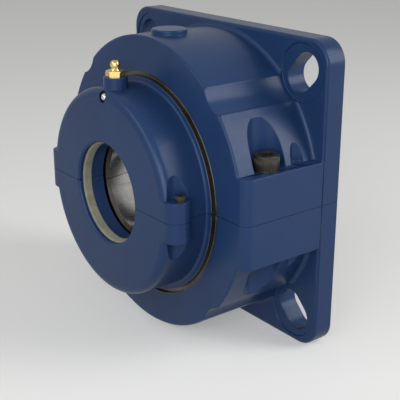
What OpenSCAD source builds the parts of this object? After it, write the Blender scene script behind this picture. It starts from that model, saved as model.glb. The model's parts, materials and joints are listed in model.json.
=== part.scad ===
// Split roller bearing in a square flanged housing.
// The shaft runs along Y, the open front faces -Y, the flange bolts to a wall at +Y, and +Z is up.
// The origin is the centre of the bearing, on the shaft's axis.

/* [Shaft and rollers] */
// Diameter of the shaft that the inner ring grips
shaft_d = 65; // [62:0.5:67]
// Wall of the inner ring under the rollers
race_wall = 8.5; // [8:0.1:9.5]
// Length of the inner ring along the shaft
inner_l = 62; // [60:1:64]
// Chamfer at both ends of the inner ring's bore
inner_chamfer = 2.2; // [1:0.1:3]
// Diameter of one roller
roller_d = 12; // [11:0.1:12.5]
// Length of one roller
roller_l = 24; // [20:0.5:25]
// Rounding at the ends of a roller
roller_edge = 0.6; // [0.3:0.1:1]
// Height of the inner ring's lips over its track
inner_lip_h = 3; // [2.5:0.1:3.2]
// Height of the outer ring's lips over its track
outer_lip_h = 3.6; // [3.2:0.1:4]
// Width of each lip along the shaft
lip_w = 4.9; // [4.5:0.1:5.4]
// Wall of the outer ring behind the rollers
outer_wall = 5.9; // [5:0.1:6.5]
// Angle between the rings' joint faces and the shaft's axis
joint_skew = 6.5; // [0:0.5:8]

/* [Cage] */
// Metal between two neighbouring rollers, at their centres
cage_bar = 5.5; // [4:0.1:6]
// Width of each side rail of the cage
cage_rail_w = 4.3; // [4:0.1:4.6]
// Width of a cage clip across the rail
clip_w = 3; // [2:0.1:3.4]
// Span of a cage clip over the joint
clip_l = 11; // [9:0.5:12]
// Thickness of a cage clip
clip_t = 0.8; // [0.5:0.1:1]
// Diameter of a clip's two prongs
prong_d = 1.6; // [1.2:0.1:2]
// Depth of a clip's prongs in the cage
prong_l = 3; // [2:0.1:4]

/* [Clamping rings] */
// Wall of the inner ring under a clamping ring
clamp_seat_wall = 6; // [5:0.1:6.5]
// Radial thickness of a clamping ring
clamp_t = 11.3; // [10.8:0.1:12]
// Height of the bead that keeps a clamping ring on
bead_h = 1.2; // [0.6:0.1:2]
// Width of that bead
bead_w = 1.6; // [1:0.1:2.5]
// Thread diameter of the clamping ring screws
clamp_screw_d = 5; // [4:0.5:5]
// Length of those screws under the head
clamp_screw_l = 16; // [14:1:20]

/* [Cartridge] */
// Length of the cartridge along the shaft
cartridge_l = 106; // [102:1:108]
// Wall of the cartridge round the outer ring
barrel_wall = 10.05; // [9:0.05:11]
// Rounding of the cartridge's front and rear edges
barrel_edge = 6; // [3:0.5:7]
// Step of the collar over the barrel
collar_h = 3.9; // [3:0.1:5]
// How far the collar stands out of the housing
collar_proud = 1.8; // [1:0.1:3]
// Fillet at the foot of the collar
collar_fillet = 1.5; // [1:0.1:2.5]
// Depth of the bare swivel shoulder in the housing's mouth
shoulder_depth = 2; // [1:0.1:3]
// Shoulder that the outer ring seats against
seat_shoulder = 5; // [3:0.5:5]
// Radial gap between the end walls and the shaft
land_gap = 1.3; // [1:0.1:3]
// Gap between the inner ring's ends and the end walls
end_gap = 2.5; // [1.5:0.1:4]
// Chamfer round the mouth of each end wall
mouth_chamfer = 1.2; // [0.5:0.1:2]
// Depth of the felt groove behind the end face
felt_depth = 3.4; // [3:0.1:5]
// Width of a felt seal
felt_w = 6.4; // [5:0.1:8]
// Radial thickness of a felt seal
felt_t = 8.4; // [6:0.1:10]
// Cut in a felt seal, where it is laid round the shaft
felt_cut = 0.4; // [0.2:0.1:1]

/* [Cartridge joint] */
// Height of a joint lug over and under the joint
lug_h = 13.1; // [12:0.1:16]
// Radius of a lug's rounded outline
lug_r = 9; // [8:0.1:10]
// Reach of a lug past the barrel
lug_reach = 6.1; // [5.3:0.1:6.5]
// Radius of the round pocket over a lug
lug_pocket_r = 9.6; // [9:0.1:10.5]
// Thread diameter of the cartridge screws
cart_screw_d = 4; // [3:0.5:4.5]
// Length of those screws under the head
cart_screw_l = 20; // [18:1:24]
// Wall between a cartridge screw and the lug's outside
cart_screw_edge = 4.3; // [4:0.1:5]
// Diameter of the cartridge dowels
cart_dowel_d = 5; // [4:0.5:6]
// Length of the cartridge dowels
cart_dowel_l = 18; // [14:1:22]

/* [Grease point] */
// Diameter of the nipple's round boss
boss_d = 15.6; // [14.5:0.1:18]
// Height of that boss over the barrel
boss_h = 7; // [6:0.1:9]
// Distance of the nipple behind the cartridge's front face
nipple_back = 10.9; // [9:0.1:13]
// Width across the flats of the nipple's hexagon
nipple_af = 11; // [9:0.5:12]
// Height of that hexagon
nipple_hex_h = 3.8; // [3:0.1:5]
// Thread diameter of the nipple
nipple_thread_d = 9.7; // [8:0.1:10]
// Length of the nipple's thread
nipple_thread_l = 6.5; // [5:0.5:7]
// Diameter of the nipple's round head
nipple_head_d = 6.4; // [5.5:0.1:6.7]
// Height of the nipple's head and neck over the hexagon
nipple_head_h = 6; // [5.5:0.1:7]
// Diameter of the ball that closes the nipple
valve_ball_d = 2.2; // [2:0.1:2.6]
// Diameter of the nipple's mouth over that ball
valve_mouth_d = 1.2; // [1:0.1:1.4]
// Diameter of the recess over the steel ball
ball_recess_d = 7.4; // [6.5:0.1:8]
// Depth of that recess
ball_recess_h = 2.4; // [1.5:0.1:3]
// Diameter of the steel ball that plugs the drilled duct
ball_d = 5.4; // [4.5:0.1:6]
// Diameter of the grease duct
duct_d = 3.2; // [2:0.1:4]

/* [Housing] */
// Width and height of the square flange
flange_w = 206; // [202:1:216]
// Thickness of the flange
flange_t = 15; // [13:0.5:18]
// Radius of the flange's corners
flange_corner_r = 15.5; // [10:0.5:20]
// Rounding of the flange's front edge
flange_edge = 2; // [1:0.1:3]
// Distance from the flange's back to the bearing's centre
centre_y = 56.5; // [55:0.5:60]
// Distance from the bearing's centre to the housing's front face
front_reach = 20.5; // [19:0.5:22]
// Wall of the cartridge's swivel ball outside the barrel
swivel_step = 9.4; // [9.2:0.1:11]
// Wall of the housing round the swivel seat
housing_wall = 20.8; // [20:0.1:22]
// Fillet between the round housing and the flange
body_fillet = 3; // [2:0.5:5]
// Rounding of the housing's front edge
body_edge = 1.5; // [0.5:0.1:3]
// Radius of the cavity behind the swivel seat
rear_cavity_r = 80; // [79:0.5:82]
// Distance of that cavity behind the bearing's centre
rear_cavity_y = 22; // [21:0.5:24]
// Height of a joint block over and under the joint
block_h = 29; // [26:0.5:32]
// Radius of a joint block's upright front corner
block_corner_r = 5.7; // [4:0.1:7]
// Diameter of the round cast pad on top
pad_d = 23.4; // [20:0.1:26]
// Height of that pad over the round housing
pad_h = 2.8; // [1.5:0.1:3.5]
// Rounding of the pad's edge
pad_edge = 1; // [0.3:0.1:1.2]

/* [Mounting slots] */
// Distance from a mounting bolt to the nearest side of the flange
bolt_edge = 22; // [21:0.5:23]
// Width of a mounting slot
slot_w = 20; // [16:0.5:22]
// Length of a mounting slot, from end to end
slot_l = 29; // [26:0.5:30]
// Diameter of the spot face round a slot, which also cuts the housing's flutes
spot_d = 37; // [34:0.5:38]
// Depth of the spot face in the flange
spot_depth = 1; // [0.5:0.1:2]

/* [Housing joint] */
// Thread diameter of the housing's joint screws
joint_screw_d = 10; // [8:0.5:10]
// Length of those screws under the head
joint_screw_l = 50; // [45:1:55]
// Wall between the swivel seat and a joint screw's axis
joint_screw_in = 14; // [13:0.1:15]
// Distance of a joint screw behind the bearing's centre
joint_screw_y = 4; // [2:0.5:5]
// Radius of the round pocket over a joint screw
screw_pocket_r = 12.5; // [12:0.1:13.5]
// How far that pocket lies behind its screw
screw_pocket_back = 1.3; // [0.5:0.1:2]
// Diameter of the joint dowels
joint_dowel_d = 8; // [6:0.5:9]
// Length of the joint dowels
joint_dowel_l = 40; // [34:1:46]
// Distance from a dowel's axis to the side of the block
joint_dowel_edge = 7.5; // [6.5:0.1:9]
// Distance of a dowel behind the bearing's centre
joint_dowel_y = 27.7; // [26:0.1:30]
// Radius of the drill's clearance pocket over a dowel
dowel_pocket_r = 5.2; // [5:0.1:6]

/* [Fits] */
// Gap between the halves of the housing and of the cartridge
casting_gap = 0.3; // [0.2:0.1:0.6]
// Gap between the halves of a ring, clamping ring or cage
ring_gap = 0.4; // [0.2:0.1:0.8]
// Running clearance between the rollers and their tracks
running = 0.05; // [0.03:0.01:0.08]
// Clearance at the ends of the rollers
end_play = 0.1; // [0.05:0.05:0.2]
// Clearance of a roller in its pocket, and of the cage over the lips
pocket_play = 0.2; // [0.15:0.05:0.3]
// Clearance of the swivel ball in its seat
swivel_play = 0.1; // [0.05:0.01:0.15]
// Clearance of a piece that is seated in another
seat_play = 0.05; // [0.02:0.01:0.08]
// Clearance of a screw in its plain hole
screw_play = 0.5; // [0.2:0.1:0.7]

/* [Hidden] */
$fn = 96;

paint = [0.20, 0.30, 0.46];
ground_steel = [0.80, 0.80, 0.80];
dark_steel = [0.36, 0.33, 0.30];
bright_steel = [0.92, 0.92, 0.93];
felt_cream = [0.80, 0.77, 0.65];
brass = [0.82, 0.66, 0.33];
cage_brass = [0.72, 0.58, 0.30];

// Overlap of two shapes that are joined, and overrun of a cutter
lap = 1;
reach = flange_w;
sides = [1, -1];

// Cap screws: head and socket follow the thread
head_ratio = 0.8;
socket_ratio = 0.46;
edge_ratio = 0.06;
tip_ratio = 0.1;

// Rings and rollers
shaft_r = shaft_d / 2;
track_r = shaft_r + race_wall;
roller_r = roller_d / 2;
pitch_r = track_r + running + roller_r;
outer_track_r = pitch_r + roller_r + running;
outer_ring_r = outer_track_r + outer_wall;
inner_lip_r = track_r + inner_lip_h;
outer_lip_r = outer_track_r - outer_lip_h;
track_half = roller_l / 2 + end_play;
ring_half = track_half + lip_w;
inner_half = inner_l / 2;
rollers_per_half = 8;
roller_step = 2 * asin((roller_d + cage_bar) / (2 * pitch_r));
ring_edge = 0.8;
outer_hole_r = 2;

// Cage
cage_in_r = inner_lip_r + 2 * pocket_play;
cage_out_r = outer_lip_r - 2 * pocket_play;
cage_half = track_half + cage_rail_w;
cage_mid_r = (cage_in_r + cage_out_r) / 2;
prong_z = clip_l / 2 - prong_d;

// Clamping rings
clamp_in_r = shaft_r + clamp_seat_wall + seat_play;
clamp_out_r = clamp_in_r + clamp_t;
clamp_y0 = ring_half + end_play;
clamp_y1 = inner_half - bead_w - end_play;
clamp_mid_y = (clamp_y0 + clamp_y1) / 2;
clamp_edge = 1;
clamp_head_r = head_ratio * clamp_screw_d;
clamp_head_wall = 1;
clamp_screw_r = clamp_in_r + clamp_head_wall + screw_play + clamp_head_r;
clamp_head_x = 6;
clamp_thread_l = clamp_screw_l - clamp_head_x + lap;

// Cartridge
cart_half = cartridge_l / 2;
seat_r = outer_ring_r + seat_play;
barrel_r = seat_r + barrel_wall;
collar_r = barrel_r + collar_h;
collar_half = front_reach + collar_proud;
ball_band_half = front_reach - shoulder_depth;
cavity_r = seat_r - seat_shoulder;
cavity_half = inner_half + end_gap;
land_r = shaft_r + land_gap;
felt_in_r = shaft_r + seat_play;
felt_out_r = felt_in_r + felt_t;
felt_y = cart_half - felt_depth - felt_w;
felt_cut_angle = -25;
groove_w = 6;
groove_depth = 1.5;

// Cartridge joint
lug_x = barrel_r + lug_reach - lug_r;
lug_y = cart_half - lug_r;
lug_root = 16;
lug_in_x = barrel_r - lug_root;
cart_screw_x = barrel_r + lug_reach - cart_screw_edge;
lug_pocket_shift = 2.2;
lug_pocket_x = cart_screw_x + lug_pocket_shift;
cart_dowel_x = (felt_out_r + barrel_r) / 2;
cart_dowel_y = (cavity_half + felt_y) / 2;

// Grease point
nipple_y = nipple_back - cart_half;
boss_top = barrel_r + boss_h;
duct_under = 4.9;
duct_z = barrel_r - duct_under;
boss_root = duct_z - duct_d / 2;
duct_drop = duct_z - seat_r;
duct_tilt = atan(duct_drop / cart_half);
ball_r = ball_d / 2;
ball_under = 0.5;
ball_depth = ball_recess_h + ball_under;
ball_bore_l = 7;
nipple_turn = -7.5;
nipple_tip = 1;
nipple_top = nipple_hex_h + nipple_head_h;
valve_ball_r = valve_ball_d / 2;
valve_mouth_r = valve_mouth_d / 2;
valve_play = 0.3;
valve_bore_r = valve_ball_r + valve_play;
valve_lip = 0.4;
valve_seat_z = nipple_top - valve_lip - valve_bore_r + valve_mouth_r;

// Housing
half_w = flange_w / 2;
flange_y = centre_y - flange_t;
corner_at = half_w - flange_corner_r;
swivel_r = barrel_r + swivel_step;
swivel_ball_r = swivel_r - swivel_play;
body_r = swivel_r + housing_wall;
bolt_at = half_w - bolt_edge;
slot_r = slot_w / 2;
slot_shift = (slot_l - slot_w) / 2;
spot_r = spot_d / 2;
pad_top = body_r + pad_h;

// Housing joint
joint_screw_x = swivel_r + joint_screw_in;
joint_dowel_x = half_w - joint_dowel_edge;

// The corner between two straight edges of a profile, outside an arc of radius r.
// (dx, dy) points from the arc's centre to the corner.
module arc_corner(x, y, r, dx, dy) {
    cx = x - dx * r;
    cy = y - dy * r;
    difference() {
        translate([dx > 0 ? cx : x - lap, dy > 0 ? cy : y - lap]) square(r + lap);
        translate([cx, cy]) circle(r);
    }
}

// Turns a profile of radius and length about the shaft's axis
module revolve() {
    rotate([-90, 0, 0]) rotate_extrude() children();
}

// A ring about the shaft's axis
module ring_profile(r_in, r_out, y0, y1) {
    translate([r_in, y0]) square([r_out - r_in, y1 - y0]);
}

module at_both_sides() {
    children();
    mirror([1, 0, 0]) children();
}

module at_both_ends() {
    children();
    mirror([0, 1, 0]) children();
}

// Keeps the half above the joint for side 1 and the half below it for side -1
module half(side, gap, skew = 0) {
    difference() {
        children();
        rotate([skew, 0, 0])
            translate([-reach, -reach, side > 0 ? gap / 2 - 2 * reach : -gap / 2])
                cube(2 * reach);
    }
}

// Cap screw along Z with its head's underside at z = 0 and its shank below
module cap_screw(d, l) {
    head_r = head_ratio * d;
    head_edge = edge_ratio * d;
    tip = tip_ratio * d;
    socket_r = socket_ratio * d;
    difference() {
        rotate_extrude()
            polygon([
                [0, -l], [d / 2 - tip, -l], [d / 2, tip - l], [d / 2, 0], [head_r, 0],
                [head_r, d - head_edge], [head_r - head_edge, d], [0, d]
            ]);
        translate([0, 0, d / 2]) cylinder(h = d, r = socket_r, $fn = 6);
    }
}

// Dowel pin along Z, centred on the joint
module dowel(d, l) {
    tip = tip_ratio * d;
    rotate_extrude()
        polygon([
            [0, -l / 2], [d / 2 - tip, -l / 2], [d / 2, tip - l / 2],
            [d / 2, l / 2 - tip], [d / 2 - tip, l / 2], [0, l / 2]
        ]);
}

// Housing

// Section through one edge of the flange, at a distance w from its middle
module flange_section(w) {
    difference() {
        translate([0, flange_y]) square([w, flange_t]);
        arc_corner(w, flange_y, flange_edge, 1, -1);
    }
}

module flange() {
    at_both_sides()
        linear_extrude(2 * corner_at, center = true) flange_section(half_w);
    rotate([0, -90, 0])
        at_both_sides()
            linear_extrude(2 * corner_at, center = true) flange_section(half_w);
    for (sx = sides, sz = sides)
        translate([sx * corner_at, 0, sz * corner_at])
            revolve() flange_section(flange_corner_r);
}

module round_body() {
    revolve()
        difference() {
            union() {
                ring_profile(0, body_r, -front_reach, flange_y + lap);
                arc_corner(body_r, flange_y, body_fillet, -1, 1);
            }
            arc_corner(body_r, -front_reach, body_edge, 1, -1);
        }
}

module joint_blocks() {
    at_both_sides()
        linear_extrude(2 * block_h, center = true)
            difference() {
                translate([swivel_r, -front_reach])
                    square([half_w - swivel_r, flange_y + lap + front_reach]);
                arc_corner(half_w, -front_reach, block_corner_r, 1, -1);
            }
}

module top_pad() {
    rotate_extrude()
        difference() {
            translate([0, swivel_r]) square([pad_d / 2, pad_top - swivel_r]);
            arc_corner(pad_d / 2, pad_top, pad_edge, 1, 1);
        }
}

// The slot runs towards the shaft. Its spot face is milled from the front
// and leaves a flute along the round housing.
module bolt_cut() {
    revolve() ring_profile(0, spot_r, -front_reach - lap, flange_y + spot_depth);
    for (s = sides)
        translate([s * slot_shift, 0, 0])
            revolve() ring_profile(0, slot_r, flange_y, centre_y + lap);
    translate([-slot_shift, flange_y, -slot_r])
        cube([2 * slot_shift, flange_t + lap, slot_w]);
}

module bolt_cuts() {
    for (sx = sides, sz = sides)
        translate([sx * bolt_at, 0, sz * bolt_at])
            rotate([0, -45 * sx * sz, 0]) bolt_cut();
}

// Screw hole, dowel hole and their round pockets, on the side that side names
module joint_cuts(side) {
    screw_hole_r = joint_screw_d / 2 + (side > 0 ? screw_play : seat_play);
    pocket_z = side > 0 ? block_h : -block_h - reach;
    at_both_sides() {
        translate([joint_screw_x, joint_screw_y, 0]) {
            cylinder(h = 2 * (block_h + lap), r = screw_hole_r, center = true);
            translate([0, screw_pocket_back, pocket_z]) cylinder(h = reach, r = screw_pocket_r);
        }
        translate([joint_dowel_x, joint_dowel_y, 0]) {
            cylinder(h = 2 * (block_h + lap), r = joint_dowel_d / 2 + seat_play, center = true);
            translate([0, 0, pocket_z]) cylinder(h = reach, r = dowel_pocket_r);
        }
    }
}

module housing(side) {
    color(paint)
        half(side, casting_gap)
            difference() {
                union() {
                    flange();
                    round_body();
                    joint_blocks();
                    if (side > 0) top_pad();
                }
                sphere(swivel_r);
                revolve() ring_profile(0, rear_cavity_r, rear_cavity_y, centre_y + lap);
                bolt_cuts();
                joint_cuts(side);
            }
}

module housing_upper() { housing(1); }

module housing_lower() { housing(-1); }

module joint_screws() {
    color(dark_steel)
        at_both_sides()
            translate([joint_screw_x, joint_screw_y, block_h])
                cap_screw(joint_screw_d, joint_screw_l);
}

module joint_dowels() {
    color(bright_steel)
        at_both_sides()
            translate([joint_dowel_x, joint_dowel_y, 0])
                dowel(joint_dowel_d, joint_dowel_l);
}

// Cartridge

module cartridge_barrel() {
    revolve()
        difference() {
            union() {
                ring_profile(0, barrel_r, -cart_half, cart_half);
                ring_profile(0, collar_r, -collar_half, collar_half);
                for (s = sides)
                    arc_corner(barrel_r, s * collar_half, collar_fillet, -1, -s);
            }
            for (s = sides)
                arc_corner(barrel_r, s * cart_half, barrel_edge, 1, s);
        }
    intersection() {
        sphere(swivel_ball_r);
        revolve() ring_profile(0, swivel_r, -ball_band_half, ball_band_half);
    }
}

module cartridge_lugs() {
    at_both_sides()
        at_both_ends() {
            translate([lug_x, -lug_y, 0]) cylinder(h = 2 * lug_h, r = lug_r, center = true);
            translate([lug_in_x, -cart_half, -lug_h])
                cube([lug_x - lug_in_x, 2 * lug_r, 2 * lug_h]);
        }
}

// Everything that is bored about the shaft's axis
module cartridge_bore() {
    revolve() {
        ring_profile(0, land_r, -cart_half - lap, cart_half + lap);
        ring_profile(0, cavity_r, -cavity_half, cavity_half);
        ring_profile(0, seat_r, -ring_half - seat_play, ring_half + seat_play);
        ring_profile(0, seat_r + groove_depth, -groove_w / 2, groove_w / 2);
        for (s = sides) {
            translate([0, s * (felt_y + felt_w / 2) - felt_w / 2 - seat_play])
                square([felt_out_r + seat_play, felt_w + 2 * seat_play]);
            polygon([
                [0, s * (cart_half + lap)],
                [land_r + mouth_chamfer + lap, s * (cart_half + lap)],
                [land_r, s * (cart_half - mouth_chamfer)],
                [0, s * (cart_half - mouth_chamfer)]
            ]);
        }
    }
}

module cartridge_joint_cuts(side) {
    screw_hole_r = cart_screw_d / 2 + (side > 0 ? screw_play / 2 : seat_play);
    pocket_z = side > 0 ? lug_h : -lug_h - reach;
    at_both_sides()
        at_both_ends() {
            translate([cart_screw_x, -lug_y, 0])
                cylinder(h = 2 * (lug_h + lap), r = screw_hole_r, center = true);
            translate([lug_pocket_x, -lug_y, pocket_z]) cylinder(h = reach, r = lug_pocket_r);
        }
    for (s = sides)
        translate([s * cart_dowel_x, s * cart_dowel_y, 0])
            cylinder(h = cart_dowel_l + lap, r = cart_dowel_d / 2 + seat_play, center = true);
}

// Places things along the duct, which is drilled down from the front face to the grease groove
module along_duct() {
    translate([0, -cart_half, duct_z]) rotate([-90 - duct_tilt, 0, 0]) children();
}

module duct_cuts() {
    along_duct() {
        translate([0, 0, -barrel_edge])
            cylinder(h = barrel_edge + ball_recess_h, r = ball_recess_d / 2);
        cylinder(h = ball_bore_l, r = ball_r + seat_play / 2);
        cylinder(h = cart_half, r = duct_d / 2);
    }
    translate([0, nipple_y, boss_top - nipple_thread_l - lap])
        cylinder(h = nipple_thread_l + 2 * lap, r = nipple_thread_d / 2 + seat_play);
    translate([0, nipple_y, duct_z]) cylinder(h = boss_h, r = duct_d / 2);
}

module cartridge(side) {
    color(paint)
        half(side, casting_gap)
            difference() {
                union() {
                    cartridge_barrel();
                    cartridge_lugs();
                    if (side > 0)
                        translate([0, nipple_y, boss_root])
                            cylinder(h = boss_top - boss_root, r = boss_d / 2);
                }
                cartridge_bore();
                cartridge_joint_cuts(side);
                if (side > 0) duct_cuts();
            }
}

module cartridge_upper() { cartridge(1); }

module cartridge_lower() { cartridge(-1); }

module cartridge_screws() {
    color(dark_steel)
        at_both_sides()
            at_both_ends()
                translate([cart_screw_x, -lug_y, lug_h])
                    cap_screw(cart_screw_d, cart_screw_l);
}

module cartridge_dowels() {
    color(bright_steel)
        for (s = sides)
            translate([s * cart_dowel_x, s * cart_dowel_y, 0])
                dowel(cart_dowel_d, cart_dowel_l);
}

module felt_seal(end) {
    color(felt_cream)
        difference() {
            revolve()
                ring_profile(felt_in_r, felt_out_r,
                    end * (felt_y + felt_w / 2) - felt_w / 2,
                    end * (felt_y + felt_w / 2) + felt_w / 2);
            rotate([0, felt_cut_angle, 0])
                translate([0, -reach, -felt_cut / 2]) cube([reach, 2 * reach, felt_cut]);
        }
}

module felt_seal_front() { felt_seal(-1); }

module felt_seal_rear() { felt_seal(1); }

module outer_ring(side) {
    color(ground_steel)
        half(side, ring_gap, joint_skew)
            difference() {
                revolve()
                    difference() {
                        ring_profile(outer_lip_r, outer_ring_r, -ring_half, ring_half);
                        ring_profile(0, outer_track_r, -track_half, track_half);
                        for (s = sides)
                            arc_corner(outer_ring_r, s * ring_half, ring_edge, 1, s);
                    }
                if (side > 0)
                    translate([0, 0, pitch_r]) cylinder(h = roller_d + outer_wall, r = outer_hole_r);
            }
}

module outer_ring_upper() { outer_ring(1); }

module outer_ring_lower() { outer_ring(-1); }

// Places the nipple's pieces with the underside of its hexagon at z = 0
module at_nipple() {
    translate([0, nipple_y, boss_top]) rotate([0, 0, nipple_turn]) children();
}

// Hexagon with chamfered corners, threaded stem, waisted neck and round head. The passage
// narrows at 45 degrees to the mouth, and there the valve ball seats.
module grease_nipple() {
    hex_r = nipple_af / sqrt(3);
    hex_edge = 0.5;
    stem_r = nipple_thread_d / 2;
    head_r = nipple_head_d / 2;
    head_flat = 0.75 * head_r;
    head_z = nipple_top - head_flat;
    neck_r = 0.7 * head_r;
    neck_z = nipple_hex_h + 0.25 * nipple_head_h;
    color(brass)
        at_nipple()
            difference() {
                union() {
                    intersection() {
                        cylinder(h = nipple_hex_h, r = hex_r, $fn = 6);
                        cylinder(h = nipple_hex_h,
                            r1 = hex_r + nipple_hex_h / 2 - hex_edge, r2 = hex_r - hex_edge);
                    }
                    rotate_extrude() {
                        polygon([
                            [0, -nipple_thread_l], [stem_r - nipple_tip, -nipple_thread_l],
                            [stem_r, nipple_tip - nipple_thread_l], [stem_r, 0],
                            [hex_r - nipple_tip, nipple_hex_h / 2], [head_r, nipple_hex_h],
                            [neck_r, neck_z], [neck_r, head_z], [0, head_z]
                        ]);
                        intersection() {
                            translate([0, head_z]) circle(head_r);
                            translate([0, head_z - head_r]) square([head_r, head_r + head_flat]);
                        }
                    }
                }
                rotate_extrude()
                    polygon([
                        [0, -nipple_thread_l - lap], [valve_bore_r, -nipple_thread_l - lap],
                        [valve_bore_r, valve_seat_z],
                        [valve_mouth_r, valve_seat_z + valve_bore_r - valve_mouth_r],
                        [valve_mouth_r, nipple_top + lap], [0, nipple_top + lap]
                    ]);
            }
}

module nipple_ball() {
    color(bright_steel)
        at_nipple()
            translate([0, 0, valve_seat_z + valve_bore_r - sqrt(2) * (valve_ball_r + seat_play)])
                sphere(valve_ball_r);
}

module duct_ball() {
    color(bright_steel)
        along_duct() translate([0, 0, ball_depth]) sphere(ball_r);
}

// Rings on the shaft

module inner_ring(side) {
    color(ground_steel)
        half(side, ring_gap, joint_skew)
            revolve()
                difference() {
                    union() {
                        ring_profile(shaft_r, shaft_r + clamp_seat_wall, -inner_half, inner_half);
                        ring_profile(shaft_r, track_r, -track_half - lap, track_half + lap);
                        for (s = sides) {
                            translate([shaft_r, s > 0 ? track_half : -ring_half])
                                square([inner_lip_r - shaft_r, lip_w]);
                            translate([shaft_r, s > 0 ? inner_half - bead_w : -inner_half])
                                square([clamp_seat_wall + bead_h, bead_w]);
                        }
                    }
                    for (s = sides)
                        polygon([
                            [shaft_r - lap, s * (inner_half - inner_chamfer - lap)],
                            [shaft_r + inner_chamfer + lap, s * (inner_half + lap)],
                            [shaft_r - lap, s * (inner_half + lap)]
                        ]);
                }
}

module inner_ring_upper() { inner_ring(1); }

module inner_ring_lower() { inner_ring(-1); }

// Clamping ring half at one end. Its joint is upright, across the inner ring's joint.
module clamp_ring(end, side) {
    color(dark_steel)
        rotate([0, 90, 0])
            half(side, ring_gap)
                difference() {
                    revolve()
                        difference() {
                            ring_profile(clamp_in_r, clamp_out_r,
                                end > 0 ? clamp_y0 : -clamp_y1, end > 0 ? clamp_y1 : -clamp_y0);
                            for (y = [clamp_y0, clamp_y1])
                                arc_corner(clamp_out_r, end * y, clamp_edge, 1,
                                    y == clamp_y1 ? end : -end);
                        }
                    for (s = sides)
                        translate([s * clamp_screw_r, end * clamp_mid_y, 0])
                            mirror([0, 0, s > 0 ? 0 : 1]) {
                                translate([0, 0, clamp_head_x])
                                    cylinder(h = reach, r = clamp_head_r + screw_play);
                                cylinder(h = clamp_head_x + lap,
                                    r = clamp_screw_d / 2 + screw_play / 2);
                                translate([0, 0, -clamp_thread_l])
                                    cylinder(h = clamp_thread_l + lap,
                                        r = clamp_screw_d / 2 + seat_play);
                            }
                }
}

module clamp_ring_front_left() { clamp_ring(-1, -1); }

module clamp_ring_front_right() { clamp_ring(-1, 1); }

module clamp_ring_rear_left() { clamp_ring(1, -1); }

module clamp_ring_rear_right() { clamp_ring(1, 1); }

module clamp_screws() {
    color(dark_steel)
        rotate([0, 90, 0])
            for (end = sides, s = sides)
                translate([s * clamp_screw_r, end * clamp_mid_y, 0])
                    mirror([0, 0, s > 0 ? 0 : 1])
                        translate([0, 0, clamp_head_x]) cap_screw(clamp_screw_d, clamp_screw_l);
}

// Cage and rollers

// Angle of a roller's centre about the shaft, from 1 to 16
function roller_angle(i) =
    (i > rollers_per_half ? 180 : 0) + 90
    + ((i - 1) % rollers_per_half - (rollers_per_half - 1) / 2) * roller_step;

module at_roller(i) {
    rotate([0, -roller_angle(i), 0]) translate([pitch_r, 0, 0]) children();
}

module cage(side) {
    first = side > 0 ? 1 : rollers_per_half + 1;
    color(cage_brass)
        half(side, ring_gap)
            difference() {
                revolve() ring_profile(cage_in_r, cage_out_r, -cage_half, cage_half);
                for (i = [first : first + rollers_per_half - 1])
                    at_roller(i)
                        revolve()
                            ring_profile(0, roller_r + pocket_play,
                                -track_half - pocket_play, track_half + pocket_play);
                at_both_sides()
                    at_both_ends()
                        translate([cage_mid_r, cage_half - clip_t, 0]) {
                            translate([-clip_w / 2 - seat_play, 0, -clip_l / 2 - seat_play])
                                cube([clip_w + 2 * seat_play, clip_t + lap, clip_l + 2 * seat_play]);
                            for (s = sides)
                                translate([0, 0, s * prong_z])
                                    revolve()
                                        ring_profile(0, prong_d / 2 + seat_play,
                                            -prong_l - seat_play, lap);
                        }
            }
}

module cage_upper() { cage(1); }

module cage_lower() { cage(-1); }

// Four spring clips, pressed flush into the cage's side rails over its joints
module cage_clips() {
    color(dark_steel)
        at_both_sides()
            at_both_ends()
                translate([cage_mid_r, cage_half - clip_t, 0]) {
                    translate([-clip_w / 2, 0, -clip_l / 2]) cube([clip_w, clip_t, clip_l]);
                    for (s = sides)
                        translate([0, 0, s * prong_z])
                            revolve() ring_profile(0, prong_d / 2, -prong_l, clip_t);
                }
}

module roller(i) {
    color(bright_steel)
        at_roller(i)
            revolve()
                difference() {
                    ring_profile(0, roller_r, -roller_l / 2, roller_l / 2);
                    for (s = sides)
                        arc_corner(roller_r, s * roller_l / 2, roller_edge, 1, s);
                }
}

housing_upper();
housing_lower();
joint_screws();
joint_dowels();
cartridge_upper();
cartridge_lower();
cartridge_screws();
cartridge_dowels();
felt_seal_front();
felt_seal_rear();
outer_ring_upper();
outer_ring_lower();
grease_nipple();
nipple_ball();
duct_ball();
inner_ring_upper();
inner_ring_lower();
clamp_ring_front_left();
clamp_ring_front_right();
clamp_ring_rear_left();
clamp_ring_rear_right();
clamp_screws();
cage_upper();
cage_lower();
cage_clips();
roller(1);  // roller_01
roller(2);  // roller_02
roller(3);  // roller_03
roller(4);  // roller_04
roller(5);  // roller_05
roller(6);  // roller_06
roller(7);  // roller_07
roller(8);  // roller_08
roller(9);  // roller_09
roller(10);  // roller_10
roller(11);  // roller_11
roller(12);  // roller_12
roller(13);  // roller_13
roller(14);  // roller_14
roller(15);  // roller_15
roller(16);  // roller_16
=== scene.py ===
import json
import math

import bmesh
import bpy
from mathutils import Matrix, Quaternion, Vector, noise
from mathutils.bvhtree import BVHTree


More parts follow.
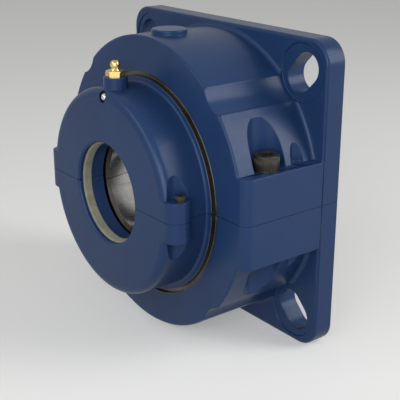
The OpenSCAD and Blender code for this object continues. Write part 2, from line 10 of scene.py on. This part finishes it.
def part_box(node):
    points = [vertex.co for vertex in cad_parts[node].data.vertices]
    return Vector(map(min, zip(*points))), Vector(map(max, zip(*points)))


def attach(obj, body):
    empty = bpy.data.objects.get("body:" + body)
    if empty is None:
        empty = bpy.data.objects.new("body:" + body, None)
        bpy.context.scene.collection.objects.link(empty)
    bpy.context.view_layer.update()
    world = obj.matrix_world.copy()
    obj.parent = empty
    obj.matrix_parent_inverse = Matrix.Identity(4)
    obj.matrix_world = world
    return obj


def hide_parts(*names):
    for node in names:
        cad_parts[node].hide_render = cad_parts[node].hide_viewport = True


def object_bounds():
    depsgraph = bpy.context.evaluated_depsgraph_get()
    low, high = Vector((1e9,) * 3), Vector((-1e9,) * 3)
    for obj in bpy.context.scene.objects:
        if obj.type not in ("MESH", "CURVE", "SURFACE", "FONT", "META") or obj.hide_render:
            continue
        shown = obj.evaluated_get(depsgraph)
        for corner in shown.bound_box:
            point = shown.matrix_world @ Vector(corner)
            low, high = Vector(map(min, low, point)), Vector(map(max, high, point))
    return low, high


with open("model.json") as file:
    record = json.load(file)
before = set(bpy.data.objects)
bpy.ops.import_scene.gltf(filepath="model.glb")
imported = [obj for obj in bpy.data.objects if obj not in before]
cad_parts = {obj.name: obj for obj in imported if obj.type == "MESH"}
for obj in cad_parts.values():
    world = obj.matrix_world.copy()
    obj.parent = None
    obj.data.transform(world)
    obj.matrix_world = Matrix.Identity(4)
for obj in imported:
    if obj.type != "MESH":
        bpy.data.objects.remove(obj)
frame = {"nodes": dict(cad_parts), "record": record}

cadBox = [list(corner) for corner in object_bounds()]
nodes = frame["nodes"]
mm = 0.001
slotOf = {part["node"]: part["material_slot"] for part in frame["record"]["subparts"]}
bodyOf = {nodeName: body for body, members in frame["record"]["behaviour"]["bodies"].items()
          for nodeName in members}
white = (1, 1, 1, 1)
black = (0, 0, 0, 1)


def tint(red, green, blue):
    # a colour as the eye reads it, 0 to 255, turned into the shader's numbers
    def linear(level):
        level /= 255
        return level / 12.92 if level <= 0.04045 else ((level + 0.055) / 1.055) ** 2.4
    return (linear(red), linear(green), linear(blue), 1)


class Wire:
    # one output of a node, so that a sum reads as plain Python

    def __init__(self, maker, socket):
        self.maker = maker
        self.socket = socket

    def twin(self, name):
        # another output of the same node
        return Wire(self.maker, self.socket.node.outputs[name])

    def math(self, operation, first, second=0.0):
        return self.maker.add("ShaderNodeMath", {"operation": operation}, {0: first, 1: second})

    def __add__(self, other):
        return self.math("ADD", self, other)

    def __radd__(self, other):
        return self.math("ADD", other, self)

    def __sub__(self, other):
        return self.math("SUBTRACT", self, other)

    def __rsub__(self, other):
        return self.math("SUBTRACT", other, self)

    def __mul__(self, other):
        return self.math("MULTIPLY", self, other)

    def __rmul__(self, other):
        return self.math("MULTIPLY", other, self)

    def __truediv__(self, other):
        return self.math("DIVIDE", self, other)

    def __rtruediv__(self, other):
        return self.math("DIVIDE", other, self)

    def __abs__(self):
        return self.math("ABSOLUTE", self)

    def sqrt(self):
        return self.math("SQRT", self)

    def most(self, other):
        return self.math("MAXIMUM", self, other)

    def step(self, low, high):
        # 0 below low, 1 above high, smooth between them
        return self.maker.add("ShaderNodeMapRange", {"interpolation_type": "SMOOTHSTEP"},
                              {"Value": self, "From Min": low, "From Max": high})

    def spread(self, middle, swing):
        # a noise lies round a half; this one lies round middle
        return middle + (self - 0.5) * swing


class NodeMaker:
    # makes nodes of any type in one tree

    def __init__(self, tree):
        self.tree = tree

    def place(self, kind, settings=None, values=None):
        node = self.tree.nodes.new(kind)
        for key, value in (settings or {}).items():
            setattr(node, key, value)
        for key, value in (values or {}).items():
            self.feed(node.inputs[key], value)
        return node

    def add(self, kind, settings=None, values=None, out=0):
        return Wire(self, self.place(kind, settings, values).outputs[out])

    def feed(self, socket, value):
        if isinstance(value, Wire):
            self.tree.links.new(value.socket, socket)
        else:
            socket.default_value = value


class Finish(NodeMaker):
    # a material that ends in one Principled shader and reads Object coordinates

    def __init__(self, name, still):
        self.material = bpy.data.materials.new(name)
        self.material.use_nodes = True
        super().__init__(self.material.node_tree)
        self.tree.nodes.clear()
        self.shader = self.place("ShaderNodeBsdfPrincipled", values=still)
        self.place("ShaderNodeOutputMaterial",
                   values={"Surface": Wire(self, self.shader.outputs[0])})
        self.point = self.add("ShaderNodeTexCoord", out="Object")
        self.x = self.add("ShaderNodeSeparateXYZ", values={0: self.point})
        self.y = self.x.twin("Y")
        self.z = self.x.twin("Z")
        self.shaftRadius = (self.x * self.x + self.z * self.z).sqrt()

    def set(self, **inputs):
        for key, value in inputs.items():
            self.feed(self.shader.inputs[key.replace("_", " ")], value)

    def away(self, place):
        # distance from a place
        return self.add("ShaderNodeVectorMath", {"operation": "DISTANCE"},
                        {0: self.point, 1: place}, out="Value")

    def noise(self, scale, detail, rough, at=None):
        return self.add("ShaderNodeTexNoise", values={
            "Vector": at or self.point, "Scale": scale, "Detail": detail, "Roughness": rough})

    def mix(self, share, first, second):
        return self.add("ShaderNodeMix", {"data_type": "RGBA"},
                        {0: share, 6: first, 7: second}, out=2)

    def blend(self, share, first, second):
        return self.add("ShaderNodeMix", {"data_type": "FLOAT"}, {0: share, 2: first, 3: second})

    def blendNormals(self, share, first, second):
        return self.add("ShaderNodeMix", {"data_type": "VECTOR"},
                        {0: share, 4: first, 5: second}, out=1)

    def bump(self, height, depth, over=None):
        values = {"Height": height, "Distance": depth, "Strength": 1.0}
        if over:
            values["Normal"] = over
        return self.add("ShaderNodeBump", values=values)


class ShapeTree(NodeMaker):
    # a Geometry Nodes tree with named inputs, which ends in real faces with one material

    def __init__(self, name, inputs):
        super().__init__(bpy.data.node_groups.new(name, "GeometryNodeTree"))
        sockets = self.tree.interface
        sockets.new_socket("Geometry", in_out="INPUT", socket_type="NodeSocketGeometry")
        sockets.new_socket("Geometry", in_out="OUTPUT", socket_type="NodeSocketGeometry")
        self.identifiers = {}
        for key, value in inputs.items():
            kind = "NodeSocketInt" if isinstance(value, int) else "NodeSocketFloat"
            socket = sockets.new_socket(key, in_out="INPUT", socket_type=kind)
            self.identifiers[key] = socket.identifier
        self.entry = self.place("NodeGroupInput")
        self.values = inputs

    def given(self, name):
        return Wire(self, self.entry.outputs[name])

    def close(self, shape, material):
        real = self.add("GeometryNodeRealizeInstances", values={0: shape})
        done = self.add("GeometryNodeSetMaterial", values={0: real, "Material": material})
        self.place("NodeGroupOutput", values={0: done})

    def grow(self, name, mesh):
        # runs the tree on a mesh and returns what it made as a plain mesh object
        holder = bpy.data.objects.new(name, mesh)
        bpy.context.scene.collection.objects.link(holder)
        modifier = holder.modifiers.new("tree", "NODES")
        modifier.node_group = self.tree
        for key, value in self.values.items():
            modifier[self.identifiers[key]] = value
        seen = holder.evaluated_get(bpy.context.evaluated_depsgraph_get())
        made = bpy.data.meshes.new_from_object(seen)
        holder.modifiers.clear()
        holder.data = made
        return holder


print("helpers ready")

# Finishes. A noise has its scale per metre, its detail and its roughness; an edge is the pair of
# values between which one look fades into the other.

paint = {
    "colour": (31, 57, 98),  # satin blue enamel
    "pale": (37, 63, 106),
    "clouds": {"scale": 14, "detail": 3, "rough": 0.55},
    "cloudEdge": (0.3, 0.72),
    "skin": {"scale": 1 / (4.5 * mm), "detail": 4, "rough": 0.6},  # sand casting under the paint
    "skinDepth": 0.045 * mm,
    "peel": {"scale": 1 / (1.6 * mm), "detail": 2, "rough": 0.5},  # orange peel of the spray
    "peelDepth": 0.01 * mm,
    "gloss": 0.22,
    "roughness": 0.33,
    "unevenness": 0.16,
    "coat": 0.03,
    "coatRoughness": 0.2,
    "refraction": 1.5,
}

iron = {
    "colour": (108, 107, 105),  # machined grey iron with a film of oil
    "stain": (86, 84, 81),
    "stains": {"scale": 60, "detail": 4, "rough": 0.6},
    "stainEdge": (0.35, 0.7),
    "roughness": 0.42,
    "unevenness": 0.25,
    "grooveSize": 0.35 * mm,
    "grooveDepth": 0.005 * mm,
}

recessShade = {
    "colour": (14, 13, 12),  # painted shade: near black in the recess round the ball that plugs the duct
    "middle": (0, -50.3 * mm, 64 * mm),
    "reachEdge": (3.85 * mm, 4.15 * mm),
    "faceEdge": (-52.75 * mm, -52.45 * mm),
}

machined = {  # the edges of the bare metal
    "seat": (79.0 * mm, 79.2 * mm),  # swivel seat, from the bearing's middle
    "back": (56.35 * mm, 56.45 * mm),  # flange's back, along the shaft
    "joint": (0.16 * mm, 0.2 * mm),  # faces between the halves, by height
    "band": (72.8 * mm, 72.9 * mm),  # swivel ball and its collars, from the shaft's axis
    "collarEnd": (22.1 * mm, 22.2 * mm),  # a collar's end face is painted, along the shaft
}

toolMarks = {"scale": 1, "detail": 2, "rough": 0.6}  # here the scale is per groove


# painted shade: 1 in the recess round the duct's ball, fading to 0 outside it
def recessShadeShare(finish):
    near = 1 - finish.away(recessShade["middle"]).step(*recessShade["reachEdge"])
    return near * finish.y.step(*recessShade["faceEdge"])


def turnedLines(finish, along, size):
    # fine uneven grooves square to the coordinate named by along
    lines = finish.add("ShaderNodeCombineXYZ", values={0: getattr(finish, along) / size})
    return finish.noise(at=lines, **toolMarks)


def enamel(name, bare, along):
    # painted casting; bare finds its machined surfaces, and along crosses the tool marks there
    finish = Finish(name, {"Coat Roughness": paint["coatRoughness"], "IOR": paint["refraction"],
                           "Specular IOR Level": paint["gloss"]})
    share = bare(finish)
    clouds = finish.noise(**paint["clouds"]).step(*paint["cloudEdge"])
    skin = finish.noise(**paint["skin"])
    blue = finish.mix(clouds, tint(*paint["colour"]), tint(*paint["pale"]))
    # painted shade: the recess round the duct's ball is darkened to near black
    blue = finish.mix(recessShadeShare(finish), blue, tint(*recessShade["colour"]))
    stains = finish.noise(**iron["stains"]).step(*iron["stainEdge"])
    metal = finish.mix(stains, tint(*iron["colour"]), tint(*iron["stain"]))
    grooves = turnedLines(finish, along, iron["grooveSize"])
    coated = finish.bump(finish.noise(**paint["peel"]), paint["peelDepth"],
                         over=finish.bump(skin, paint["skinDepth"]))
    cut = finish.bump(grooves, iron["grooveDepth"])
    finish.set(
        Base_Color=finish.mix(share, blue, metal),
        Metallic=share,
        Roughness=finish.blend(share, skin.spread(paint["roughness"], paint["unevenness"]),
                               grooves.spread(iron["roughness"], iron["unevenness"])),
        Coat_Weight=(1 - share) * paint["coat"],
        Normal=finish.blendNormals(share, coated, cut))
    return finish.material


def jointFaces(finish):
    return 1 - abs(finish.z).step(*machined["joint"])


def housingBare(finish):
    seat = 1 - finish.away((0, 0, 0)).step(*machined["seat"])
    back = finish.y.step(*machined["back"])
    return seat.most(back).most(jointFaces(finish))


def cartridgeBare(finish):
    band = finish.shaftRadius.step(*machined["band"])
    inner = 1 - abs(finish.y).step(*machined["collarEnd"])
    return (band * inner).most(jointFaces(finish))


polish = {
    "light": (214, 214, 216),  # lapped rollers, balls and dowels
    "dark": (198, 198, 200),
    "roughness": 0.12,
    "along": "y",
    "grooveSize": 0.3 * mm,
    "grooveDepth": 0.001 * mm,
}

nippleBrass = {
    "light": (232, 203, 138),
    "dark": (214, 182, 112),
    "roughness": 0.24,
    "along": "z",
    "grooveSize": 0.2 * mm,
    "grooveDepth": 0.005 * mm,
}

cageBrass = {
    "light": (206, 170, 100),
    "dark": (184, 148, 80),
    "roughness": 0.32,
    "along": "shaftRadius",
    "grooveSize": 0.4 * mm,
    "grooveDepth": 0.006 * mm,
}

tarnish = {
    "stains": {"scale": 45, "detail": 3, "rough": 0.6},
    "stainEdge": (0.3, 0.75),
    "unevenness": 0.2,
}


def turnedMetal(name, look):
    finish = Finish(name, {"Metallic": 1.0})
    grooves = turnedLines(finish, look["along"], look["grooveSize"])
    stains = finish.noise(**tarnish["stains"]).step(*tarnish["stainEdge"])
    finish.set(
        Base_Color=finish.mix(stains, tint(*look["light"]), tint(*look["dark"])),
        Roughness=grooves.spread(look["roughness"], tarnish["unevenness"]),
        Normal=finish.bump(grooves, look["grooveDepth"]))
    return finish.material


ring = {
    "bright": (238, 237, 235),  # bore, tracks and lips are ground
    "brightDark": (222, 221, 218),
    "brown": (70, 66, 62),  # phosphate on the ends and chamfers
    "brownDark": (54, 50, 47),
    "brownEdge": (28.7 * mm, 28.85 * mm),  # along the shaft
    "clouds": {"scale": 90, "detail": 4, "rough": 0.65},
    "cloudEdge": (0.3, 0.7),
    "roughness": 0.13,
    "unevenness": 0.1,
    "brownRoughness": 0.5,
    "grooveSize": 0.25 * mm,
    "grooveDepth": 0.003 * mm,
}


def ringSteel():
    finish = Finish("ringSteel", {"Metallic": 1.0})
    share = abs(finish.y).step(*ring["brownEdge"])
    grooves = turnedLines(finish, "y", ring["grooveSize"])
    clouds = finish.noise(**ring["clouds"]).step(*ring["cloudEdge"])
    ground = finish.mix(clouds, tint(*ring["bright"]), tint(*ring["brightDark"]))
    phosphate = finish.mix(clouds, tint(*ring["brown"]), tint(*ring["brownDark"]))
    finish.set(
        Base_Color=finish.mix(share, ground, phosphate),
        Roughness=finish.blend(share, grooves.spread(ring["roughness"], ring["unevenness"]),
                               ring["brownRoughness"]),
        Normal=finish.bump(grooves, ring["grooveDepth"]))
    return finish.material


oxide = {
    "colour": (72, 69, 64),  # brown-black, on the screws and clamping rings
    "dark": (54, 51, 47),
    "clouds": {"scale": 160, "detail": 4, "rough": 0.6},
    "cloudEdge": (0.3, 0.7),
    "grain": {"scale": 1400, "detail": 2, "rough": 0.5},
    "grainDepth": 0.005 * mm,
    "metallic": 0.7,
    "roughness": 0.4,
    "unevenness": 0.2,
}


def oxideSteel():
    finish = Finish("oxideSteel", {"Metallic": oxide["metallic"]})
    clouds = finish.noise(**oxide["clouds"]).step(*oxide["cloudEdge"])
    grain = finish.noise(**oxide["grain"])
    finish.set(
        Base_Color=finish.mix(clouds, tint(*oxide["colour"]), tint(*oxide["dark"])),
        Roughness=grain.spread(oxide["roughness"], oxide["unevenness"]),
        Normal=finish.bump(grain, oxide["grainDepth"]))
    return finish.material


wool = {
    "colour": (166, 163, 146),  # oiled felt
    "dark": (140, 137, 118),
    "clouds": {"scale": 130, "detail": 4, "rough": 0.6},
    "cloudEdge": (0.25, 0.75),
    "fuzz": {"scale": 1500, "detail": 5, "rough": 0.75},
    "fuzzDepth": 0.1 * mm,
    "roughness": 0.88,
    "unevenness": 0.1,
    "gloss": 0.15,
    "sheen": 0.25,
    "sheenRoughness": 0.6,
}


def feltWool():
    finish = Finish("feltWool", {"Sheen Weight": wool["sheen"], "Specular IOR Level": wool["gloss"],
                                 "Sheen Roughness": wool["sheenRoughness"]})
    fuzz = finish.noise(**wool["fuzz"])
    clouds = finish.noise(**wool["clouds"]).step(*wool["cloudEdge"])
    finish.set(
        Base_Color=finish.mix(clouds, tint(*wool["colour"]), tint(*wool["dark"])),
        Roughness=fuzz.spread(wool["roughness"], wool["unevenness"]),
        Normal=finish.bump(fuzz, wool["fuzzDepth"]))
    return finish.material


finishes = {
    "housing_paint": enamel("housingEnamel", housingBare, "shaftRadius"),
    "cartridge_paint": enamel("cartridgeEnamel", cartridgeBare, "y"),
    "oxide_steel": oxideSteel(),
    "ground_steel": ringSteel(),
    "polished_steel": turnedMetal("polishedSteel", polish),
    "nipple_brass": turnedMetal("nippleBrass", nippleBrass),
    "cage_brass": turnedMetal("cageBrass", cageBrass),
    "felt": feltWool(),
}
for nodeName, node in nodes.items():
    node.data.materials.clear()
    node.data.materials.append(finishes[slotOf[nodeName]])
print("finishes made:", len(finishes))


def finishPiece(piece, body, slot):
    # the last words on a made piece: its finish and what it moves with
    piece.data.materials.clear()
    piece.data.materials.append(finishes[slot])
    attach(piece, body)


# Castings, screws and nipple with their edges eased

easing = {
    "widths": {  # of the round that runs along each sharp edge
        "housing_upper": 0.5 * mm,
        "housing_lower": 0.5 * mm,
        "cartridge_upper": 0.45 * mm,
        "cartridge_lower": 0.45 * mm,
        "joint_screws": 0.2 * mm,
        "cartridge_screws": 0.1 * mm,
        "grease_nipple": 0.12 * mm,
    },
    "sharpFrom": math.radians(25),  # least turn between two faces that gets a round
    "partingHalf": 0.2 * mm,  # the joint of the halves keeps its thin line
    "segments": 3,
    "profile": 0.5,
    "weld": 0.04 * mm,  # points closer than this are one
    "sliver": 0.02 * mm,
    "flat": math.radians(0.4),
    "stray": 0.55,  # share of a width by which a round's point may leave the CAD surface
    "alike": 0.9,  # how far the directions at a point agree for it to count as smooth
}


def keepNormals(mesh):
    # the exact directions of the CAD surface go along as plain numbers
    kept = mesh.attributes.new("cadNormal", "FLOAT_VECTOR", "CORNER")
    directions = [0.0] * (3 * len(mesh.loops))
    mesh.corner_normals.foreach_get("vector", directions)
    kept.data.foreach_set("vector", directions)


def isSharp(edge, layer):
    if len(edge.link_faces) != 2:
        return False
    if all(abs(corner.co.z) < easing["partingHalf"] for corner in edge.verts):
        return False
    for corner in edge.verts:
        meeting = [loop[layer] for face in edge.link_faces for loop in face.loops
                   if loop.vert == corner]
        first, second = meeting[:2]
        if first.length and second.length and first.angle(second) > easing["sharpFrom"]:
            return True
    return False


def keepClose(form, nodeName, width):
    # where rounds crowd a corner, their points go back to the CAD surface and into its box
    cad = nodes[nodeName].data
    surface = BVHTree.FromPolygons([corner.co for corner in cad.vertices],
                                   [face.vertices for face in cad.polygons])
    low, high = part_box(nodeName)
    for corner in form.verts:
        place, *rest, distance = surface.find_nearest(corner.co)
        if distance > easing["stray"] * width:
            corner.co = place
        corner.co = [min(max(value, least), most)
                     for value, least, most in zip(corner.co, low, high)]


def roundShading(form, rounds, layer):
    # the CAD faces keep their exact shading, and a round runs smoothly from one to the next
    form.normal_update()
    edgeOf = {}
    for corner in form.verts:
        kept = [loop[layer].normalized() for loop in corner.link_loops if loop.face not in rounds]
        total = sum(kept, Vector())
        alike = total.length > easing["alike"] * len(kept) > 0
        edgeOf[corner] = total.normalized() if alike else corner.normal.copy()
    shading = []
    for face in form.faces:
        for loop in face.loops:
            exact = face not in rounds and loop[layer].length
            shading.append(loop[layer].normalized() if exact else edgeOf[loop.vert])
    return shading


def ease(nodeName, width):
    mesh = nodes[nodeName].data.copy()
    keepNormals(mesh)
    form = bmesh.new()
    form.from_mesh(mesh)
    bmesh.ops.remove_doubles(form, verts=form.verts, dist=easing["weld"])
    bmesh.ops.dissolve_degenerate(form, dist=easing["sliver"], edges=form.edges)
    bmesh.ops.dissolve_limit(form, angle_limit=easing["flat"], verts=form.verts, edges=form.edges)
    layer = form.loops.layers.float_vector["cadNormal"]
    edges = [edge for edge in form.edges if isSharp(edge, layer)]
    rounds = bmesh.ops.bevel(form, geom=edges, offset=width, offset_type="OFFSET",
                             segments=easing["segments"], profile=easing["profile"],
                             affect="EDGES", clamp_overlap=False, loop_slide=True)
    keepClose(form, nodeName, width)
    shading = roundShading(form, set(rounds["faces"]), layer)
    for face in form.faces:
        face.smooth = True
    form.to_mesh(mesh)
    form.free()
    for name in ("custom_normal", "sharp_edge", "cadNormal"):
        if name in mesh.attributes:
            mesh.attributes.remove(mesh.attributes[name])
    mesh.normals_split_custom_set(shading)
    piece = bpy.data.objects.new(nodeName + "_eased", mesh)
    bpy.context.scene.collection.objects.link(piece)
    finishPiece(piece, bodyOf[nodeName], slotOf[nodeName])
    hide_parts(nodeName)
    print("eased", nodeName, len(edges), "edges,", len(piece.data.polygons), "faces")


for nodeName, width in easing["widths"].items():
    ease(nodeName, width)

# Knurled rims of the cap screws' heads

knurls = {
    "joint": {
        "body": "housing",
        "heads": [(side * 92.5 * mm, 4 * mm, 34 * mm) for side in (1, -1)],
        "sizes": {"Ridges": 48, "Head radius": 8 * mm, "Height": 7.6 * mm,
                  "Ridge radius": 0.3 * mm},
    },
    "cartridge": {
        "body": "cartridge",
        "heads": [(side * 70.9 * mm, end * 44 * mm, 15.1 * mm)
                  for side in (1, -1) for end in (1, -1)],
        "sizes": {"Ridges": 36, "Head radius": 3.2 * mm, "Height": 2.9 * mm,
                  "Ridge radius": 0.15 * mm},
    },
}
ridge = {
    "sides": 8,
    "sunk": 0.62,  # depth of a ridge's middle in the head, in its own radii
    "upright": 0.5,  # a face that looks up less than this is part of the round
}


def knurlTree(name, sizes, material):
    # round bars stand in a ring on each head, more than half sunk in it
    tree = ShapeTree(name, sizes)
    radius = tree.given("Ridge radius")
    bar = tree.add("GeometryNodeMeshCylinder", {"fill_type": "NGON"}, {
        "Vertices": ridge["sides"], "Radius": radius, "Depth": tree.given("Height")})
    circle = tree.add("GeometryNodeMeshCircle", values={
        "Vertices": tree.given("Ridges"),
        "Radius": tree.given("Head radius") - radius * ridge["sunk"]})
    bars = tree.add("GeometryNodeInstanceOnPoints", values={"Points": circle, "Instance": bar})
    heads = tree.add("GeometryNodeInstanceOnPoints", values={
        "Points": tree.given("Geometry"), "Instance": bars})
    tree.close(heads, material)
    return tree


for knurlName, knurl in knurls.items():
    seats = bpy.data.meshes.new(knurlName + "Seats")
    seats.from_pydata(knurl["heads"], [], [])
    tree = knurlTree(knurlName + "Knurl", knurl["sizes"], finishes["oxide_steel"])
    rims = tree.grow(knurlName + "_screw_knurls", seats)
    for face in rims.data.polygons:
        face.use_smooth = abs(face.normal.z) < ridge["upright"]
    finishPiece(rims, knurl["body"], "oxide_steel")
    print("knurled", knurlName, "screws:", len(rims.data.polygons), "faces")

# Felt seals

felt = {
    "innerRadius": 32.6 * mm,
    "outerRadius": 40.9 * mm,
    "width": 6.3 * mm,
    "middle": 46.4 * mm,  # along the shaft, to either side
    "corner": 0.9 * mm,
    "cornerSteps": 4,
    "spacing": 0.55 * mm,  # of the points round a section
    "cutAngle": 25,  # where the strip's ends meet
    "cutHalf": 0.25 * mm,
    "turns": 300,  # sections along the strip
    "lumps": 0.16 * mm,
    "lumpSize": 2.2 * mm,
    "fineLumps": 0.5,  # how strong a second layer is
    "fineness": 2.7,  # and how much finer
}
fibres = {"Fibres per m2": 5.0e6, "Length": 0.9 * mm, "Thickness": 0.016 * mm,
          "Lean": 1.15, "Sway": 0.3, "Seed": 4}


def feltSection():
    # a rectangle with round corners as (radius, place along the shaft)
    points = []
    middle = (felt["innerRadius"] + felt["outerRadius"]) / 2
    halfThick = (felt["outerRadius"] - felt["innerRadius"]) / 2
    halfWide = felt["width"] / 2
    corner = felt["corner"]
    for quarter, (sideways, along) in enumerate(((1, 1), (-1, 1), (-1, -1), (1, -1))):
        for stepOn in range(felt["cornerSteps"] + 1):
            turn = math.radians(90 * (quarter + stepOn / felt["cornerSteps"]))
            points.append((middle + sideways * (halfThick - corner) + corner * math.cos(turn),
                           along * (halfWide - corner) + corner * math.sin(turn)))
    spread = []
    for first, second in zip(points, points[1:] + points[:1]):
        pieces = max(1, round(math.dist(first, second) / felt["spacing"]))
        spread += [(first[0] + (second[0] - first[0]) * k / pieces,
                    first[1] + (second[1] - first[1]) * k / pieces) for k in range(pieces)]
    return spread


def lumpAt(place):
    # how far wool lies back there, as a share of the lumps' depth
    coarse = noise.noise(place / felt["lumpSize"])
    fine = noise.noise(place / felt["lumpSize"] * felt["fineness"])
    return 0.5 + 0.5 * max(-1, min(1, coarse + felt["fineLumps"] * fine))


def makeFelt(nodeName, end):
    form = bmesh.new()
    section = feltSection()
    rows = []
    for turnIndex in range(felt["turns"] + 1):
        share = turnIndex / felt["turns"]
        row = []
        for radius, along in section:
            gap = math.asin(felt["cutHalf"] / radius)
            angle = math.radians(felt["cutAngle"]) + gap + share * (2 * math.pi - 2 * gap)
            row.append(form.verts.new((radius * math.cos(angle), end * felt["middle"] + along,
                                       radius * math.sin(angle))))
        rows.append(row)
    count = len(section)
    for first, second in zip(rows, rows[1:]):
        for k in range(count):
            after = (k + 1) % count
            form.faces.new((first[k], first[after], second[after], second[k]))
    form.faces.new(rows[0][::-1])
    form.faces.new(rows[-1])
    bmesh.ops.recalc_face_normals(form, faces=form.faces)
    form.normal_update()
    for corner in form.verts:
        corner.co -= corner.normal * felt["lumps"] * lumpAt(corner.co)
    for face in form.faces:
        face.smooth = len(face.verts) == 4
    mesh = bpy.data.meshes.new(nodeName + "Wool")
    form.to_mesh(mesh)
    form.free()
    piece = bpy.data.objects.new(nodeName + "_wool", mesh)
    bpy.context.scene.collection.objects.link(piece)
    finishPiece(piece, "cartridge", "felt")
    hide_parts(nodeName)
    return piece


def fibreTree(sizes, material):
    # short thin hairs that lean over the surface they grow from
    tree = ShapeTree("feltFibres", sizes)
    seed = tree.given("Seed")
    points = tree.add("GeometryNodeDistributePointsOnFaces", {"distribute_method": "RANDOM"}, {
        "Mesh": tree.given("Geometry"), "Density": tree.given("Fibres per m2"), "Seed": seed})
    hair = tree.add("GeometryNodeMeshCone", {"fill_type": "NGON"}, {
        "Vertices": 3, "Side Segments": 2, "Radius Top": 0.0,
        "Radius Bottom": tree.given("Thickness"), "Depth": tree.given("Length")})
    chance = tree.add("FunctionNodeRandomValue", {"data_type": "FLOAT_VECTOR"}, {
        0: (0.0, 0.0, 0.0), 1: (1.0, 1.0, 6.28), "Seed": seed})  # the last is any way round
    reach = tree.add("ShaderNodeCombineXYZ", values={
        0: tree.given("Lean"), 1: tree.given("Sway"), 2: 1.0})
    turned = tree.add("ShaderNodeVectorMath", {"operation": "MULTIPLY"}, {0: chance, 1: reach})
    around = tree.add("FunctionNodeEulerToRotation", values={0: turned})
    facing = tree.add("FunctionNodeRotateRotation", {"rotation_space": "LOCAL"}, {
        0: points.twin("Rotation"), 1: around})
    hairs = tree.add("GeometryNodeInstanceOnPoints", values={
        "Points": points, "Instance": hair, "Rotation": facing})
    tree.close(hairs, material)
    return tree


def growFibres(piece):
    # hairs on the felt's round inner face and on the corners beside it, where it shows
    form = bmesh.new()
    form.from_mesh(piece.data)
    reach = felt["innerRadius"] + felt["corner"]
    hidden = []
    for face in form.faces:
        middle = face.calc_center_median()
        if math.hypot(middle.x, middle.z) > reach:
            hidden.append(face)
    bmesh.ops.delete(form, geom=hidden, context="FACES")
    mesh = bpy.data.meshes.new("feltInner")
    form.to_mesh(mesh)
    form.free()
    hairs = fibreTree(fibres, finishes["felt"]).grow(piece.name.replace("wool", "fibres"), mesh)
    finishPiece(hairs, "cartridge", "felt")
    print("fibres:", len(hairs.data.polygons), "faces")


seals = [makeFelt("felt_seal_front", -1), makeFelt("felt_seal_rear", 1)]
for seal in seals:
    growFibres(seal)

# Studio

view = {
    "lens": 79.0,
    "film": 36,
    "place": (0.4656, -0.3324, 0.1932),
    "azimuth": 52.486,
    "elevation": 20.131,
}

studio = {
    "floor": (226, 226, 224),
    "floorGlow": 0.26,  # only where the eye or a mirror looks at it
    "floorDark": (110, 110, 110),  # what the floor throws back on the piece
    "floorRoughness": 0.9,
    "floorGloss": 0.1,
    "floorSize": 24.0,
    "backdrop": (200, 200, 199),
    "sky": 0.16,
}

lights = {  # each a panel that faces the bearing's middle; turn tips its long side, in degrees
    "key": {"power": 11.0, "wide": 0.9, "high": 0.9, "turn": 0, "place": (0.98, -1.02, 0.42)},
    "over": {"power": 4.0, "wide": 1.4, "high": 0.2, "turn": -30, "place": (0.06, -1.0, 0.78)},
    "fill": {"power": 0.5, "wide": 1.0, "high": 1.0, "turn": 0, "place": (-0.2, -1.3, 0.35)},
    "side": {"power": 7.0, "wide": 0.5, "high": 0.9, "turn": 0, "place": (0.78, 0.68, 0.53)},
}


def placeCamera():
    data = bpy.data.cameras.new("camera")
    data.lens = view["lens"]
    data.sensor_width = view["film"]
    camera = bpy.data.objects.new("camera", data)
    turn = math.radians(view["azimuth"])
    rise = math.radians(view["elevation"])
    back = Vector((math.sin(turn) * math.cos(rise), -math.cos(turn) * math.cos(rise),
                   math.sin(rise)))
    right = Vector((math.cos(turn), math.sin(turn), 0))
    facing = Matrix((right, back.cross(right), back)).transposed()
    camera.matrix_world = Matrix.Translation(view["place"]) @ facing.to_4x4()
    bpy.context.scene.collection.objects.link(camera)
    bpy.context.scene.camera = camera


def addLight(name, power, wide, high, turn, place):
    data = bpy.data.lights.new(name, "AREA")
    data.energy = power
    data.shape = "RECTANGLE"
    data.size = wide
    data.size_y = high
    light = bpy.data.objects.new(name, data)
    light.location = place
    light.rotation_mode = "QUATERNION"
    towards = (-Vector(place)).to_track_quat("-Z", "Y")
    light.rotation_quaternion = towards @ Quaternion((0, 0, 1), math.radians(turn))
    bpy.context.scene.collection.objects.link(light)


def backdropRays(maker):
    # 1 where the eye, a mirror or glass looks at the backdrop
    path = maker.add("ShaderNodeLightPath", out="Is Camera Ray")
    return path.most(path.twin("Is Glossy Ray")).most(path.twin("Is Transmission Ray"))


def addFloor(level):
    half = studio["floorSize"] / 2
    mesh = bpy.data.meshes.new("floor")
    corners = [(x * half, y * half, level) for x, y in ((-1, -1), (1, -1), (1, 1), (-1, 1))]
    mesh.from_pydata(corners, [], [(0, 1, 2, 3)])
    floor = bpy.data.objects.new("floor", mesh)
    bpy.context.scene.collection.objects.link(floor)
    finish = Finish("floorPaper", {"Roughness": studio["floorRoughness"],
                                   "Specular IOR Level": studio["floorGloss"],
                                   "Emission Strength": studio["floorGlow"]})
    seen = backdropRays(finish)
    finish.set(Base_Color=finish.mix(seen, tint(*studio["floorDark"]), tint(*studio["floor"])),
               Emission_Color=finish.mix(seen, black, white))
    mesh.materials.append(finish.material)


def addSky():
    world = bpy.data.worlds.new("studioSky")
    world.use_nodes = True
    world.node_tree.nodes.clear()
    sky = NodeMaker(world.node_tree)
    dim = sky.add("ShaderNodeBackground", values={"Color": white, "Strength": studio["sky"]})
    pale = sky.add("ShaderNodeBackground",
                   values={"Color": tint(*studio["backdrop"]), "Strength": 1.0})
    seen = sky.add("ShaderNodeMixShader", values={0: backdropRays(sky), 1: dim, 2: pale})
    sky.place("ShaderNodeOutputWorld", values={"Surface": seen})
    bpy.context.scene.world = world


placeCamera()
addFloor(cadBox[0][2])
addSky()
for name, panel in lights.items():
    addLight(name, **panel)
bpy.context.scene.view_settings.view_transform = "Standard"
print("studio set:", len(lights), "lights")
